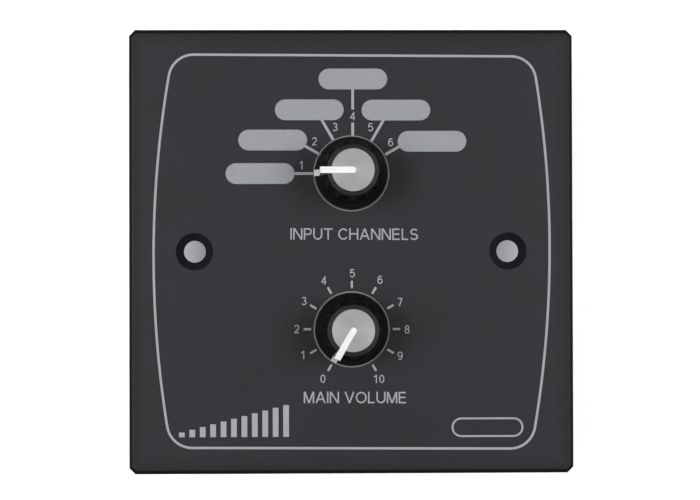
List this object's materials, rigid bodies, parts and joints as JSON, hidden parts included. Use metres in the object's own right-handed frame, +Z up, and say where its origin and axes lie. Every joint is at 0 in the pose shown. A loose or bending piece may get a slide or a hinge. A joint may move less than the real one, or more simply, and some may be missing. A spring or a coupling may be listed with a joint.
{
  "type": "wall volume control",
  "caption": "Square black steel wall plate with a selector switch above and a rotary level control below, each with a fluted knob and white pointer, and a terminal block behind.",
  "frame": {"origin": "centre of the plate, in the plane where its rim meets the wall", "axes": "+X to the right and +Z up as seen from the front, +Y into the wall; the knobs point along -Y"},
  "size_m": [0.086, 0.0391, 0.086],
  "materials": {
    "plate_black": "matt powder coat on steel",
    "knob_black": "satin gloss",
    "pointer_white": "satin",
    "cap_grey": "matt",
    "zinc": "die cast",
    "zinc_plated_steel": "bright plated",
    "nickel_plated_brass": "nickel plated",
    "case_black": "moulded",
    "phenolic": "punched sheet",
    "contact_silver": "silver plated",
    "shaft_aluminium": "turned",
    "spring_steel": "bright",
    "rotor_white": "moulded",
    "ball_steel": "polished",
    "carbon": "printed",
    "tinned_brass": "tinned",
    "can_steel": "tin plated",
    "board_green": "solder mask",
    "solder": "bright",
    "terminal_green": "moulded",
    "resistor_tan": "lacquered"
  },
  "bodies": {
    "plate": {"face_plate": "plate_black", "selector_housing": "zinc", "selector_stop_washer": "zinc_plated_steel", "selector_lock_washer": "zinc_plated_steel", "selector_nut": "nickel_plated_brass", "selector_case": "case_black", "selector_wafer": "phenolic", "selector_contacts": "contact_silver", "selector_rivets": "zinc_plated_steel", "level_housing": "zinc", "level_lock_washer": "zinc_plated_steel", "level_nut": "nickel_plated_brass", "level_wafer": "phenolic", "level_track": "carbon", "level_collector": "contact_silver", "level_terminals": "tinned_brass", "level_can": "can_steel", "circuit_board": "board_green", "solder_joints": "solder", "terminal_housing": "terminal_green", "terminal_cages": "nickel_plated_brass", "terminal_contacts": "tinned_brass", "terminal_screws": "zinc_plated_steel", "ladder_resistors": "resistor_tan", "resistor_leads": "tinned_brass"},
    "selector": {"selector_shaft": "shaft_aluminium", "selector_shaft_clip": "spring_steel", "selector_rotor": "rotor_white", "selector_moving_contact": "contact_silver", "selector_detent_balls": "ball_steel", "selector_detent_springs": "spring_steel", "selector_knob_body": "knob_black", "selector_knob_pointer": "pointer_white", "selector_knob_cap": "cap_grey", "selector_knob_grip_spring": "spring_steel"},
    "level": {"level_shaft": "shaft_aluminium", "level_shaft_clip": "spring_steel", "level_rotor": "rotor_white", "level_wiper": "contact_silver", "level_knob_body": "knob_black", "level_knob_pointer": "pointer_white", "level_knob_cap": "cap_grey", "level_knob_grip_spring": "spring_steel"}
  },
  "joints": [
    {"name": "selector_turn", "type": "hinge", "parent": "plate", "child": "selector", "pos_m": [0, 0, 0.015], "axis": [0, 1, 0], "range_deg": [0, 150]},
    {"name": "level_turn", "type": "hinge", "parent": "plate", "child": "level", "pos_m": [0, 0, -0.015], "axis": [0, 1, 0], "range_deg": [0, 300]}
  ]
}
